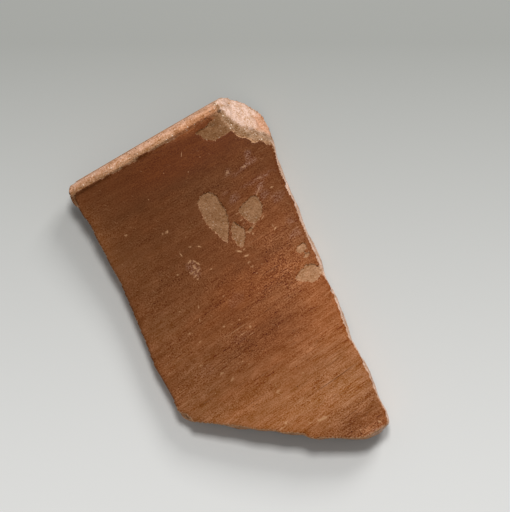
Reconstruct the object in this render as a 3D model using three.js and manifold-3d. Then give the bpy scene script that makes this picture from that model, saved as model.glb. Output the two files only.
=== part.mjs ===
// A sherd broken from the rim of a wheel-made pot with a red-brown slip, lying on its hollow side.
// It has three fired layers: the clay wall with its rounded lip, the slip coat on the outer face, and the
// slip that runs over the lip to the inner face. Millimetres, +Z up, the rim towards +Y.
// Everything is cut from the pot in the pot's own frame: the axis is Y, the lip's crown is at y = 0, and
// the middle of the sherd faces +Z. The last lines lay the sherd down.

import * as THREE from 'three';
import { mergeVertices } from 'three/addons/utils/BufferGeometryUtils.js';
import { ConvexHull } from 'three/addons/math/ConvexHull.js';
import Module from 'manifold-3d';

const { degToRad, lerp, smoothstep } = THREE.MathUtils;

// The pot
const mouthRadius = 110;      // axis to the outside of the lip
const wallThickness = 5.8;    // fired clay, without its slip
const crownHeight = 1.9;      // rounded top of the lip
const lipFall = 1.4;          // from there to the hollow under the lip
const lipBulge = 0.9;         // lip stands out from the neck
const neckFall = 28.7;        // hollow under the lip to the narrowest place of the neck
const neckDraw = 1.6;         // wall draws in on the way to the neck
const bellyFall = 44;         // neck to where the wall is widest again
const bellySwell = 2.2;       // wall swells out on the way to there

// Drops below the crown of the lip
const lipHeight = crownHeight + lipFall;
const neckDrop = lipHeight + neckFall;
const bellyDrop = neckDrop + bellyFall;

// Throwing marks on the inner face
const ridgePitch = 6.6;
const ridgeHeight = 0.35;

// The slip
const slipThickness = 0.4;
const slipSeat = 0.3;         // clearance between slip and clay
const slipSetback = 0.35;     // slip stops short of the broken edge
const slipBandDrop = 12;      // crown to the lower edge of the slip on the inner face
const slipRunLength = 2.4;    // how far that edge wanders
const crownWearAngle = 50;    // degrees up the crown to where the slip over the lip begins
const crownWearSwing = 5;     // degrees that its edge wanders

// The break
const sherdWidth = 54;
const sherdHeight = 92;
const rippleHeight = 0.55;    // waves in the broken face
const ripples = [             // each wave's length, its share of the height, its lean down the wall
  { length: 17, share: 0.5, lean: 2 },
  { length: 10.5, share: 0.35, lean: -5 },
  { length: 6.7, share: 0.25, lean: 9 },
];
const breakStep = 2.2;        // longest straight piece of the broken edge
const restWear = 0.45;        // height worn off the points that the sherd lies on
const overrun = 8;            // cutting shapes reach this far past the wall
const lyingTilt = 30;         // degrees by which the hollow side may lean as it lies

// Fineness of the facets
const turnSegments = 180;
const outerRows = 20;
const beadRows = 4;
const crownRows = 10;
const ridgeRows = 4;
const bandRows = 7;
const bandColumns = 26;
const curveSteps = 3;

// Corners of the break on the outer face, from the left end of the lip down, along the foot and up again:
// across as a share of the sherd's width, up as a share of its height, and how far across and up the broken
// face runs on its way to the inner face, as shares of the wall.
const breakShares = [
  [-0.389, 0.01, 0.1, 0], [-0.419, 0, 0.1, 0], [-0.443, -0.008, 0.15, 0], [-0.462, -0.018, 0.2, 0],
  [-0.473, -0.036, 0.2, 0], [-0.477, -0.054, 0.2, 0], [-0.462, -0.07, 0.2, 0], [-0.456, -0.125, 0.2, 0],
  [-0.464, -0.221, 0.2, 0], [-0.473, -0.261, 0.25, 0], [-0.469, -0.304, 0.25, 0],
  [-0.475, -0.328, 0.25, 0], [-0.493, -0.407, 0.2, 0], [-0.514, -0.496, 0.2, 0], [-0.528, -0.576, 0.2, 0],
  [-0.527, -0.637, 0.15, 0], [-0.53, -0.672, 0.1, 0], [-0.523, -0.696, 0.02, 0],
  [-0.495, -0.718, -0.03, -0.05], [-0.348, -0.78, -0.06, -0.08], [-0.209, -0.841, -0.06, -0.08],
  [-0.157, -0.868, -0.06, -0.08], [-0.091, -0.891, -0.06, -0.08], [-0.026, -0.926, -0.06, -0.08],
  [0.037, -0.947, -0.06, -0.08], [0.102, -0.975, -0.06, -0.08], [0.152, -0.989, -0.06, -0.08],
  [0.226, -0.995, 0, -0.05], [0.27, -0.985, 0.02, -0.03], [0.291, -0.954, 0.03, 0],
  [0.293, -0.915, 0.04, 0], [0.307, -0.848, 0.05, 0], [0.315, -0.75, 0.06, 0], [0.341, -0.641, 0.08, 0],
  [0.354, -0.563, 0.12, 0], [0.367, -0.529, 0.12, 0], [0.376, -0.45, 0.13, 0], [0.4, -0.365, 0.13, 0],
  [0.407, -0.339, 0.13, 0], [0.406, -0.325, 0.13, 0], [0.413, -0.279, 0.13, 0], [0.433, -0.221, 0.12, 0],
  [0.461, -0.188, 0.1, 0.07], [0.457, -0.174, 0.19, 0.2], [0.428, -0.162, 0.52, 0.37],
  [0.398, -0.149, 0.82, 0.53], [0.374, -0.133, 1.03, 0.63], [0.348, -0.112, 1.21, 0.58],
  [0.331, -0.089, 1.26, 0.47], [0.324, -0.061, 1.18, 0.26], [0.32, -0.033, 1, 0.02],
  [0.317, -0.011, 0.77, -0.06], [0.322, 0.01, 0.49, 0],
];

// Depth under the outer face as a share of the wall, and how much of the run out is reached there.
const breakDepthShares = [[-1.6, 0], [0, 0], [0.16, 0.36], [0.55, 0.66], [1.1, 1], [2.4, 1]];

// Places where the slip has flaked off the outer face, as shares of the sherd's width and height.
const flakeShares = [
  [ // long window
    [0.024, -0.218], [0.044, -0.209], [0.081, -0.206], [0.106, -0.214], [0.117, -0.232],
    [0.121, -0.261], [0.119, -0.285], [0.104, -0.307], [0.085, -0.324], [0.067, -0.339],
    [0.054, -0.348], [0.041, -0.337], [0.031, -0.313], [0.013, -0.283], [0.013, -0.261],
    [0.018, -0.239],
  ],
  [ // small window under it
    [0.126, -0.309], [0.133, -0.322], [0.146, -0.337], [0.141, -0.352], [0.128, -0.366],
    [0.115, -0.377], [0.094, -0.38], [0.089, -0.365], [0.09, -0.342], [0.096, -0.326],
    [0.113, -0.317],
  ],
  [ // window to the right
    [0.169, -0.298], [0.185, -0.285], [0.219, -0.278], [0.244, -0.275], [0.27, -0.274],
    [0.283, -0.283], [0.281, -0.302], [0.276, -0.32], [0.257, -0.333], [0.237, -0.337],
    [0.206, -0.34], [0.187, -0.329], [0.189, -0.315], [0.174, -0.307],
  ],
  [ // flake at the right edge
    [0.239, -0.528], [0.267, -0.517], [0.3, -0.511], [0.33, -0.512], [0.352, -0.52],
    [0.398, -0.533], [0.398, -0.547], [0.344, -0.554], [0.304, -0.558], [0.281, -0.549],
    [0.257, -0.54],
  ],
  [ // smaller flake above it
    [0.307, -0.463], [0.322, -0.455], [0.344, -0.452], [0.359, -0.457], [0.356, -0.467],
    [0.337, -0.473], [0.315, -0.47],
  ],
  [ // bare clay beside the broken rim corner
    [0.174, -0.055], [0.204, -0.054], [0.233, -0.051], [0.256, -0.046], [0.281, -0.041],
    [0.306, -0.037], [0.319, -0.028], [0.322, 0.043], [0.444, 0.043], [0.444, -0.087],
    [0.339, -0.099], [0.326, -0.096], [0.293, -0.095], [0.254, -0.096], [0.222, -0.089],
    [0.2, -0.078], [0.191, -0.064],
  ],
];

// Where the lip is worn bare, from its left end along its lower edge: share of the sherd's width, share of
// the lip's height.
const rimWearShares = [
  [-0.611, -1.95], [-0.459, -1.95], [-0.451, -1.4], [-0.447, -0.98], [-0.425, -0.83],
  [-0.361, -0.82], [-0.296, -0.86], [-0.241, -0.96], [-0.204, -0.96], [-0.15, -0.97],
  [-0.122, -1.08], [-0.1, -0.82], [-0.06, -0.84], [-0.028, -0.98], [0.03, -1.05], [0.083, -1.15],
  [0.111, -1.07], [0.148, -1.15], [0.185, -1.08], [0.222, -1], [0.259, -1.03], [0.285, -1.08],
  [0.306, -1.1], [0.556, -1.1], [0.556, 1.5], [-0.611, 1.5],
];

// Shallow scars in the clay: place across and up, half width and half height as shares of the sherd's
// width and height, and depth as a share of the wall.
const scarShares = [
  [0.225, -1.022, 0.13, 0.034, 0.45],    // worn corner at the foot, right
  [-0.545, -0.712, 0.05, 0.034, 0.25],   // worn corner at the foot, left
  [0.352, -0.603, 0.02, 0.013, 0.12],    // nick in the right edge
  [0.41, -0.305, 0.018, 0.02, 0.14],     // nick higher up
  [-0.07, -0.915, 0.03, 0.011, 0.12],    // nick in the foot
];

const wasm = await Module();
wasm.setup();

// A closed three.js geometry as a solid that can be cut.
function toSolid(geometry) {
  const bare = geometry.clone();
  bare.deleteAttribute('normal');
  bare.deleteAttribute('uv');
  const merged = mergeVertices(bare);
  return new wasm.Manifold(new wasm.Mesh({
    numProp: 3,
    vertProperties: merged.attributes.position.array,
    triVerts: new Uint32Array(merged.index.array),
  }));
}

function toGeometry(solid) {
  const mesh = solid.getMesh();
  const geometry = new THREE.BufferGeometry();
  geometry.setAttribute('position', new THREE.BufferAttribute(mesh.vertProperties, 3));
  geometry.setIndex(new THREE.BufferAttribute(mesh.triVerts, 1));
  geometry.computeVertexNormals();
  return geometry;
}

// Closed body through rings of equally many points, first and last ring capped.
// flatten gives a ring's points in its own plane, where they run anticlockwise.
function loft(rings, flatten) {
  const count = rings[0].length;
  const corners = rings.flat();
  const faces = [];
  for (let ring = 0; ring < rings.length - 1; ring++) {
    for (let i = 0; i < count; i++) {
      const here = ring * count + i;
      const next = ring * count + (i + 1) % count;
      faces.push(here, here + count, next + count);
      faces.push(here, next + count, next);
    }
  }
  const lastRing = (rings.length - 1) * count;
  for (const [a, b, c] of THREE.ShapeUtils.triangulateShape(rings[0].map(flatten), [])) {
    faces.push(a, b, c);
  }
  for (const [a, b, c] of THREE.ShapeUtils.triangulateShape(rings.at(-1).map(flatten), [])) {
    faces.push(lastRing + c, lastRing + b, lastRing + a);
  }
  const geometry = new THREE.BufferGeometry().setFromPoints(corners);
  geometry.setIndex(faces);
  return geometry;
}

// Radius of the slipped outer face at a drop below the lip's crown.
function outerRadius(drop) {
  const underLip = lipBulge * smoothstep(drop, crownHeight, lipHeight);
  const neck = neckDraw * smoothstep(drop, lipHeight, neckDrop);
  const belly = bellySwell * smoothstep(drop, neckDrop, bellyDrop);
  return mouthRadius - underLip - neck + belly;
}

// Radius of the slipped inner face, smooth as far down as the slip reaches.
function innerRadius(drop) {
  const wall = 2 * (slipThickness + slipSeat) + wallThickness;
  return outerRadius(Math.max(drop, lipHeight)) - wall;
}

const lipHalfWidth = (mouthRadius - innerRadius(crownHeight)) / 2;

// Point of the rounded crown, from 0 at its outer side to half a turn at its inner side.
function crownPoint(angle) {
  const radius = mouthRadius - lipHalfWidth + lipHalfWidth * Math.cos(angle);
  return new THREE.Vector2(radius, crownHeight * (Math.sin(angle) - 1));
}

// Slipped surface of the outer face up to the crown's outer side.
function outerPath() {
  const points = [];
  for (let i = 0; i < outerRows; i++) {
    const drop = lerp(sherdHeight + overrun, lipHeight, i / outerRows);
    points.push(new THREE.Vector2(outerRadius(drop), -drop));
  }
  for (let i = 0; i < beadRows; i++) {
    const drop = lerp(lipHeight, crownHeight, i / beadRows);
    points.push(new THREE.Vector2(outerRadius(drop), -drop));
  }
  points.push(crownPoint(0));
  return points;
}

function crownPath(startAngle) {
  const points = [];
  for (let i = 0; i <= crownRows; i++) {
    points.push(crownPoint(lerp(startAngle, Math.PI, i / crownRows)));
  }
  return points;
}

// A path moved sideways into the clay.
function inset(points, depth) {
  return points.map((point, i) => {
    const before = points[Math.max(i - 1, 0)];
    const after = points[Math.min(i + 1, points.length - 1)];
    const along = after.clone().sub(before).normalize();
    return new THREE.Vector2(point.x - along.y * depth, point.y + along.x * depth);
  });
}

// A closed profile turned all the way round, with its seam at the back of the pot.
function turned(profile) {
  return toSolid(new THREE.LatheGeometry([...profile, profile[0]], turnSegments, Math.PI));
}

// Clay of the pot's wall and lip, with throwing ridges below the slip of the inner face.
function turnedWall() {
  const skin = slipThickness + slipSeat;
  const outside = inset([...outerPath(), ...crownPath(0).slice(1)], skin);
  const inside = [];
  const ridgesStart = slipBandDrop + slipRunLength;
  const inDepth = sherdHeight + overrun - ridgesStart;
  const rows = Math.ceil(inDepth / ridgePitch * ridgeRows);
  for (let i = 1; i < bandRows; i++) {
    const drop = lerp(crownHeight, ridgesStart, i / bandRows);
    inside.push(new THREE.Vector2(innerRadius(drop) + skin, -drop));
  }
  for (let i = 0; i <= rows; i++) {
    const drop = ridgesStart + inDepth * i / rows;
    const turns = (drop - ridgesStart) / ridgePitch;
    const strength = 0.6 + 0.4 * Math.sin(2.3 * turns);
    const ridge = ridgeHeight * strength * (1 - Math.cos(2 * Math.PI * turns)) / 2;
    inside.push(new THREE.Vector2(innerRadius(drop) + skin - ridge, -drop));
  }
  return turned([...outside, ...inside]);
}

function turnedOuterSlip() {
  const path = outerPath();
  return turned([...path, ...inset(path, slipThickness).reverse()]);
}

// Slip over the lip: sections side by side round the pot, each with its own upper and lower edge.
function rimSlipBand() {
  const halfAngle = Math.asin(sherdWidth / mouthRadius);
  const sections = [];
  for (let column = 0; column <= bandColumns; column++) {
    const azimuth = lerp(-halfAngle, halfAngle, column / bandColumns);
    const wander = Math.sin(column * 0.9) + 0.6 * Math.sin(column * 2.3 + 1);
    const wornAngle = degToRad(crownWearAngle + crownWearSwing * wander);
    const edgeDrop = slipBandDrop + slipRunLength * wander / 2;
    const path = crownPath(wornAngle);
    for (let i = 1; i <= bandRows; i++) {
      const drop = lerp(crownHeight, edgeDrop, i / bandRows);
      path.push(new THREE.Vector2(innerRadius(drop), -drop));
    }
    const section = [...path, ...inset(path, slipThickness).reverse()];
    sections.push(section.map((point) => new THREE.Vector3(
      point.x * Math.sin(azimuth), point.y, point.x * Math.cos(azimuth))));
  }
  return toSolid(loft(sections, (point) => new THREE.Vector2(Math.hypot(point.x, point.z), point.y)));
}

// The broken edge as short straight pieces, with the direction that faces out of the sherd.
function brokenEdge() {
  const corners = breakShares.map(([across, up, runAcross, runUp]) => ({
    place: new THREE.Vector2(across * sherdWidth, up * sherdHeight),
    run: new THREE.Vector2(runAcross, runUp).multiplyScalar(wallThickness),
  }));
  const edge = [];
  corners.forEach((corner, i) => {
    const next = corners[(i + 1) % corners.length];
    const pieces = Math.ceil(corner.place.distanceTo(next.place) / breakStep);
    for (let j = 0; j < pieces; j++) {
      edge.push({
        place: corner.place.clone().lerp(next.place, j / pieces),
        run: corner.run.clone().lerp(next.run, j / pieces),
      });
    }
  });
  edge.forEach((piece, i) => {
    const before = edge.at(i - 1).place;
    const after = edge[(i + 1) % edge.length].place;
    piece.out = new THREE.Vector2(after.y - before.y, before.x - after.x).normalize();
  });
  return edge;
}

const edge = brokenEdge();

// Height of the broken face's waves at a place along the edge, 0 to 1 down the wall.
function ripple(distance, down) {
  const wave = ripples.reduce((sum, { length, share, lean }) => (
    sum + share * Math.sin(2 * Math.PI * distance / length + lean * down)), 0);
  return rippleHeight * wave * Math.min(0.2 + 1.5 * Math.abs(down), 1);
}

// What the break leaves of the pot: a loft from over the outer face to under the inner face, drawn in
// from the broken edge by a setback.
function breakSolid(setback) {
  const rings = breakDepthShares.map(([down, reached]) => {
    let distance = 0;
    return edge.map(({ place, run, out }, i) => {
      distance += place.distanceTo(edge.at(i - 1).place);
      const waves = place.y > 0 ? 0 : ripple(distance, down);
      const corner = place.clone().addScaledVector(run, reached).addScaledVector(out, waves - setback);
      return new THREE.Vector3(corner.x, corner.y, surfaceHeight(corner) - down * wallThickness);
    });
  });
  return toSolid(loft(rings, (point) => new THREE.Vector2(point.x, point.y)));
}

// Height of the outer face over the pot's axis, at a place seen from outside.
function surfaceHeight({ x, y }) {
  return Math.sqrt(outerRadius(-y) ** 2 - x ** 2);
}

// A cutter with an outline seen from outside, right through the wall.
function cutter(points) {
  const depth = 2 * (wallThickness + overrun) + lipBulge;
  const geometry = new THREE.ExtrudeGeometry(new THREE.Shape(points), { depth, bevelEnabled: false });
  geometry.translate(0, 0, mouthRadius + overrun - depth);
  return toSolid(geometry);
}

function curvedCutter(points) {
  const corners = points.map((point) => new THREE.Vector3(...point, 0));
  const curve = new THREE.CatmullRomCurve3(corners, true);
  return cutter(curve.getPoints(points.length * curveSteps).slice(1));
}

// A shallow hollow, as a flattened ball sunk into the outer face.
function scarCutter([across, up, halfWide, halfTall, deep]) {
  const x = across * sherdWidth;
  const y = up * sherdHeight;
  const ball = new THREE.SphereGeometry(1, 20, 12);
  ball.scale(halfWide * sherdWidth, halfTall * sherdHeight, deep * wallThickness);
  ball.rotateY(Math.asin(x / mouthRadius));
  ball.translate(x, y, surfaceHeight({ x, y }) - slipThickness - slipSeat);
  return toSolid(ball);
}

function subtractAll(solid, cutters) {
  return cutters.reduce((rest, one) => rest.subtract(one), solid);
}

const slipField = breakSolid(slipSetback);
const scars = scarShares.map(scarCutter);

function clayWall() {
  return subtractAll(turnedWall().intersect(breakSolid(0)), scars);
}

function outerSlip() {
  const flakes = flakeShares.map((shares) => curvedCutter(shares.map(
    ([across, up]) => [across * sherdWidth, up * sherdHeight])));
  const rimWear = curvedCutter(rimWearShares.map(
    ([across, up]) => [across * sherdWidth, up * lipHeight]));
  const whole = turnedOuterSlip().intersect(slipField);
  const worn = subtractAll(whole, [...flakes, rimWear, ...scars]);
  return largestPiece(worn);
}

function rimSlip() {
  return largestPiece(rimSlipBand().intersect(slipField));
}

// The body of a layer, without the crumbs that a cut leaves.
function largestPiece(solid) {
  return solid.decompose().sort((a, b) => b.volume() - a.volume())[0];
}

// Corners of a solid as points.
function cornersOf(solid) {
  const { vertProperties } = solid.getMesh();
  const points = [];
  for (let i = 0; i < vertProperties.length; i += 3) {
    points.push(new THREE.Vector3().fromArray(vertProperties, i));
  }
  return points;
}

function centroid(solid) {
  const points = cornersOf(solid);
  const { triVerts } = solid.getMesh();
  const sum = new THREE.Vector3();
  let volume = 0;
  for (let i = 0; i < triVerts.length; i += 3) {
    const [a, b, c] = [0, 1, 2].map((j) => points[triVerts[i + j]]);
    const wedge = a.dot(b.clone().cross(c)) / 6;
    sum.addScaledVector(a.clone().add(b).add(c), wedge / 4);
    volume += wedge;
  }
  return sum.divideScalar(volume);
}

// Turn that lays the sherd on its hollow side: of the flat faces of its convex hull that look down, the
// one that the centre of mass stands over and is nearest to.
function lyingTurn(solid) {
  const middle = centroid(solid);
  const hull = new ConvexHull().setFromPoints(cornersOf(solid));
  const down = new THREE.Vector3(0, 0, -1);
  const leaning = -Math.cos(degToRad(lyingTilt));
  let best = null;
  let lowest = Infinity;
  for (const face of hull.faces) {
    const height = -face.distanceToPoint(middle);
    const foot = middle.clone().addScaledVector(face.normal, height);
    const [a, b, c] = [0, 1, 2].map((i) => face.getEdge(i).head().point);
    const stands = new THREE.Triangle(a, b, c).containsPoint(foot);
    if (stands && face.normal.z < leaning && height < lowest) {
      lowest = height;
      best = face.normal.clone();
    }
  }
  return new THREE.Quaternion().setFromUnitVectors(best, down);
}

// The wall with small flats worn where it lies: all that is lower than the wear goes.
function wornToLie(solid, turn) {
  const lowest = Math.min(...cornersOf(solid).map((point) => point.applyQuaternion(turn).z));
  const table = new THREE.BoxGeometry(2 * sherdHeight, 2 * sherdHeight, sherdWidth);
  table.translate(0, -sherdHeight / 2, lowest + restWear - sherdWidth / 2);
  table.applyQuaternion(turn.clone().invert());
  return solid.subtract(toSolid(table));
}

function layer(name, solid, color, roughness) {
  const material = new THREE.MeshStandardMaterial({ color, roughness, metalness: 0 });
  const mesh = new THREE.Mesh(toGeometry(solid), material);
  mesh.name = name;
  return mesh;
}

const unworn = clayWall();
const turn = lyingTurn(unworn);

const sherd = new THREE.Group();
sherd.add(layer('clay_wall', wornToLie(unworn, turn), 0xb98c66, 0.9));
sherd.add(layer('outer_slip_coat', outerSlip(), 0x8c4f2d, 0.6));
sherd.add(layer('rim_slip_coat', rimSlip(), 0xa4643f, 0.65));

// The origin is under the middle of the sherd, on the surface that it lies on.
sherd.quaternion.copy(turn);
sherd.updateMatrixWorld();
const bounds = new THREE.Box3().setFromObject(sherd, true);
const middle = bounds.getCenter(new THREE.Vector3());
sherd.position.set(-middle.x, -middle.y, -bounds.min.z);

export default sherd;
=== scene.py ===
# A broken rim piece of a red-slipped clay pot, lying on its hollow side.
# Shapes are made in the pot's own measure, in millimetres: x to the right along the rim, y up from the
# foot to the crown of the lip at 0, z out from the pot's axis. onTable() lays finished points down.

import math

import bpy
import numpy as np
from mathutils import Matrix, Vector
from mathutils.bvhtree import BVHTree
from mathutils.kdtree import KDTree


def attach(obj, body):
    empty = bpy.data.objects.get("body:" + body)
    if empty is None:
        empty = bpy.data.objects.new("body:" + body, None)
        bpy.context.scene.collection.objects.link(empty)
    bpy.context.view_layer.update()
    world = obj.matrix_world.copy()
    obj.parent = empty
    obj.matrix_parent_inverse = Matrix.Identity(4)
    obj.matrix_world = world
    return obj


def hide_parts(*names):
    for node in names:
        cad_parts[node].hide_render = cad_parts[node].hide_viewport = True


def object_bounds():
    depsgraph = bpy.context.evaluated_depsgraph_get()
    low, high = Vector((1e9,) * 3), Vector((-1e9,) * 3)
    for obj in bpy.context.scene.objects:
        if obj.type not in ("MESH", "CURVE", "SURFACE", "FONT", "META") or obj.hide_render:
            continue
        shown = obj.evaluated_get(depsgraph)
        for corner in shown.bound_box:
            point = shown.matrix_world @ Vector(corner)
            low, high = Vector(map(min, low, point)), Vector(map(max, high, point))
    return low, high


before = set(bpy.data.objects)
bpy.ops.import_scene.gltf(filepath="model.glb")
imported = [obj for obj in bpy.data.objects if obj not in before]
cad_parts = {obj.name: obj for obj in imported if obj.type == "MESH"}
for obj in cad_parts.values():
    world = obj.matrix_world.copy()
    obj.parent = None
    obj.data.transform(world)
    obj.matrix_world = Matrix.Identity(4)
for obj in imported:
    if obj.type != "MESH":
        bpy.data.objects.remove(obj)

cadLow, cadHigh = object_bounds()
mm = 0.001

pot = {
    "outward": (0.021947, -0.040329, 0.998945),  # the pot's front as the sherd lies
    "mouth": (-1.0706, 50.2150, -96.8435),  # centre of the mouth, level with the crown
    "mouthRadius": 110.0,
    "crownHeight": 1.9,
    "lipFall": 1.4,
    "lipBulge": 0.9,
    "neckFall": 28.7,
    "neckDraw": 1.6,
    "bellyFall": 44.0,
    "bellySwell": 2.2,
    "wall": 5.8,
    "skin": 0.7,  # the bare solid lies this far under the slipped face
    "slip": 0.2,  # thickness of the slip as it shows at its edges
    "hollow": 0.42,  # the wall dips this much more just under the lip
    "beadRise": 0.24,  # worn clay of the lip over the bare solid
    "beadDrop": 0.35,  # it stays full this much further down
    "crownSpan": 3.35,  # half the lip's thickness, in bare clay
    "crownMiddle": 4.05,  # the middle of the lip under its outside
    "crownClay": 1.2,  # height of the crown's bare clay
    "crownLift": 0.42,  # share by which it is higher where slip and wear meet
    "ridgePitch": 6.6,
    "ridgeHeight": 0.35,
    "ridgeStart": 14.4,
}
lipHeight = pot["crownHeight"] + pot["lipFall"]
neckDrop = lipHeight + pot["neckFall"]
bellyDrop = neckDrop + pot["bellyFall"]

layDown = Vector((0, 0, 1)).rotation_difference(Vector(pot["outward"])).to_matrix()
layDown = layDown.to_4x4()
layDown.translation = Vector(pot["mouth"])
turnTable = np.array(layDown.to_3x3())
mouth = np.array(pot["mouth"])


def onTable(points):
    return (points @ turnTable.T + mouth) * mm


def inPot(points):
    return (points / mm - mouth) @ turnTable


def insideBox(placed):
    return np.clip(placed, np.array(cadLow), np.array(cadHigh))


# Numbers that vary over the clay

def ramp(value, low, high):
    t = np.clip((value - low) / (high - low), 0, 1)
    return t * t * (3 - 2 * t)


def fade(value, low, high):
    return 1 - ramp(value, low, high)


def steps(value, rises):
    return sum(more * ramp(value, low, high) for low, high, more in rises)


def mixed(a, b, share):
    return a + (b - a) * share


latticeSteps = np.array((374761393, 668265263, 362437))  # any large odd numbers
seedStep = 974711
stir = 1274126177


def noise(points, size, seed):
    # Smooth noise from -1 to 1, blended between scrambled numbers at the corners of a lattice
    place = points / np.asarray(size, float) + 31.7 * seed
    cell = np.floor(place).astype(np.int64)
    part = ramp(place - cell, 0, 1)
    total = np.zeros(len(points))
    for corner in np.ndindex(2, 2, 2):
        mark = (cell + corner) @ latticeSteps + seed * seedStep
        mark = (mark ^ (mark >> 13)) * stir
        mark = (mark ^ (mark >> 16)) & 0xFFFF
        share = np.where(corner, part, 1 - part)
        total += share[:, 0] * share[:, 1] * share[:, 2] * (mark / 32767.5 - 1)
    return total


def layered(points, size, seed, layers=3):
    total = np.zeros(len(points))
    for layer in range(layers):
        total += noise(points, np.asarray(size, float) / 2 ** layer, seed + layer) / 2 ** layer
    return total / (2 - 2 ** (1 - layers))


def insideOutline(x, y, outline):
    # Distance to a closed outline, positive inside
    nearest = np.full(len(x), 1e9)
    inside = np.zeros(len(x), bool)
    for (x0, y0), (x1, y1) in zip(outline, outline[1:] + outline[:1]):
        dx, dy = x1 - x0, y1 - y0
        t = np.clip(((x - x0) * dx + (y - y0) * dy) / (dx * dx + dy * dy), 0, 1)
        nearest = np.minimum(nearest, np.hypot(x - x0 - t * dx, y - y0 - t * dy))
        if y0 != y1:
            crosses = (y0 > y) != (y1 > y)
            inside ^= crosses & (x < x0 + (y - y0) * dx / dy)
    return np.where(inside, nearest, -nearest)


def insideSpot(x, y, spot):
    # Rough distance to the border of a leaning oval, positive inside
    cx, cy, halfAcross, halfUp, lean = spot
    c, s = math.cos(math.radians(lean)), math.sin(math.radians(lean))
    a = ((x - cx) * c + (y - cy) * s) / halfAcross
    b = ((y - cy) * c - (x - cx) * s) / halfUp
    return (1 - np.hypot(a, b)) * min(halfAcross, halfUp)


def relief(points, *layers):
    # Noise added up; each entry has a size, a height, a seed and how many layers, ever finer, or three
    return sum(height * layered(points, size, *rest) for size, height, *rest in layers)


def hump(x, y, cx, cy, halfAcross, halfUp):
    return np.exp(-((x - cx) / halfAcross) ** 2 - ((y - cy) / halfUp) ** 2)


def humps(x, y, spots):
    # Soft rises over ovals, added up; each is across, up, half width, half height, height
    return sum(height * hump(x, y, *oval) for *oval, height in spots)


def nearEdge(edge, width):
    return np.exp(-np.clip(edge, 0, 9) / width)


# The pot's section

def slippedRadius(drop):
    radius = pot["mouthRadius"] - pot["lipBulge"] * ramp(drop, pot["crownHeight"], lipHeight)
    radius = radius - pot["neckDraw"] * ramp(drop, lipHeight, neckDrop)
    return radius + pot["bellySwell"] * ramp(drop, neckDrop, bellyDrop)


def clayRise(drop):
    # From the bare solid up to the clay that shows: none on the lip, more where slip covers the wall
    rise = mixed(pot["beadRise"], pot["skin"] - pot["slip"], ramp(drop, 2.9, 4.2))
    fuller = ramp(drop, pot["crownHeight"], lipHeight)
    fuller = fuller - ramp(drop, pot["crownHeight"] + pot["beadDrop"], lipHeight + pot["beadDrop"])
    rise = rise + pot["lipBulge"] * fuller
    return rise - pot["hollow"] * ramp(drop, 2.6, 4.2) * fade(drop, 6.5, 15)


def clayRadius(drop):
    return slippedRadius(drop) - pot["skin"] + clayRise(drop)


def crownHigher(radius):
    # Share by which the crown's clay is higher at this radius
    side = (radius - pot["mouthRadius"] + pot["crownMiddle"]) / pot["crownSpan"]
    return pot["crownLift"] * ramp(side, -1.0, -0.6)


def innerRadius(drop):
    outside = slippedRadius(np.maximum(drop, lipHeight))
    turns = (drop - pot["ridgeStart"]) / pot["ridgePitch"]
    strength = 0.6 + 0.4 * np.sin(2.3 * turns)
    ridge = pot["ridgeHeight"] * strength * (1 - np.cos(2 * np.pi * turns)) / 2
    return outside - pot["skin"] - pot["wall"] - np.where(turns > 0, ridge, 0)


def polar(points):
    radius = np.hypot(points[:, 0], points[:, 2])
    return radius, np.arctan2(points[:, 0], points[:, 2])


def fromPolar(radius, azimuth, y):
    return np.stack([radius * np.sin(azimuth), y, radius * np.cos(azimuth)], 1)


# Meshes

def newObject(name, data):
    made = bpy.data.objects.new(name, data)
    bpy.context.scene.collection.objects.link(made)
    return made


def newPiece(name, node, points, faces, material, masks):
    mesh = bpy.data.meshes.new(name)
    mesh.from_pydata(insideBox(onTable(points)).tolist(), [], faces)
    for mask, values in masks.items():
        kind, part = ("FLOAT_VECTOR", "vector") if values.ndim == 2 else ("FLOAT", "value")
        stored = mesh.attributes.new(mask, kind, "POINT")
        stored.data.foreach_set(part, values.astype(np.float32).ravel())
    mesh.polygons.foreach_set("use_smooth", [True] * len(mesh.polygons))
    mesh.materials.append(material)
    mesh.update()
    piece = newObject(name, mesh)
    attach(piece, "root")
    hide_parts(node)
    triangles = sum(len(face) - 2 for face in faces)
    print(name, len(points), "points", triangles, "triangles")


def newSkin(name, node, top, under, faces, masks):
    # A closed sheet of slip, whose underside has the masks of its top
    masks = {mask: np.concatenate([values, values]) for mask, values in masks.items()}
    points = np.concatenate([top, under])
    newPiece(name, node, points, withUnderside(faces, len(top)), slipMaterial, masks)


lookFrom = 1.2  # rays start this far outside the clay


def coverField(node, points, normals, shape, pitch, reach):
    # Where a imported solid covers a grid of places: distance to the border of the cover, positive inside
    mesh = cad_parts[node].data
    corners = [Vector(c) for c in inPot(np.array([v.co for v in mesh.vertices]))]
    tree = BVHTree.FromPolygons(corners, [p.vertices for p in mesh.polygons])
    starts = points + lookFrom * normals
    covered = np.array([
        tree.ray_cast(Vector(start), Vector(-normal), reach)[0] is not None
        for start, normal in zip(starts, normals)
    ]).reshape(shape)
    borders = []
    for axis in (0, 1):
        halfway = np.array(np.nonzero(np.diff(covered, axis=axis)), float)
        halfway[axis] += 0.5
        borders += halfway.T.tolist()
    near = KDTree(len(borders))
    for i, (row, column) in enumerate(borders):
        near.insert((row, column, 0), i)
    near.balance()
    distance = np.array([near.find((row, column, 0))[2] for row, column in np.ndindex(shape)])
    return np.where(covered.ravel(), distance, -distance) * pitch


def cornersOf(grid):
    return [grid[:-1, :-1], grid[:-1, 1:], grid[1:, 1:], grid[1:, :-1]]


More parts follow.
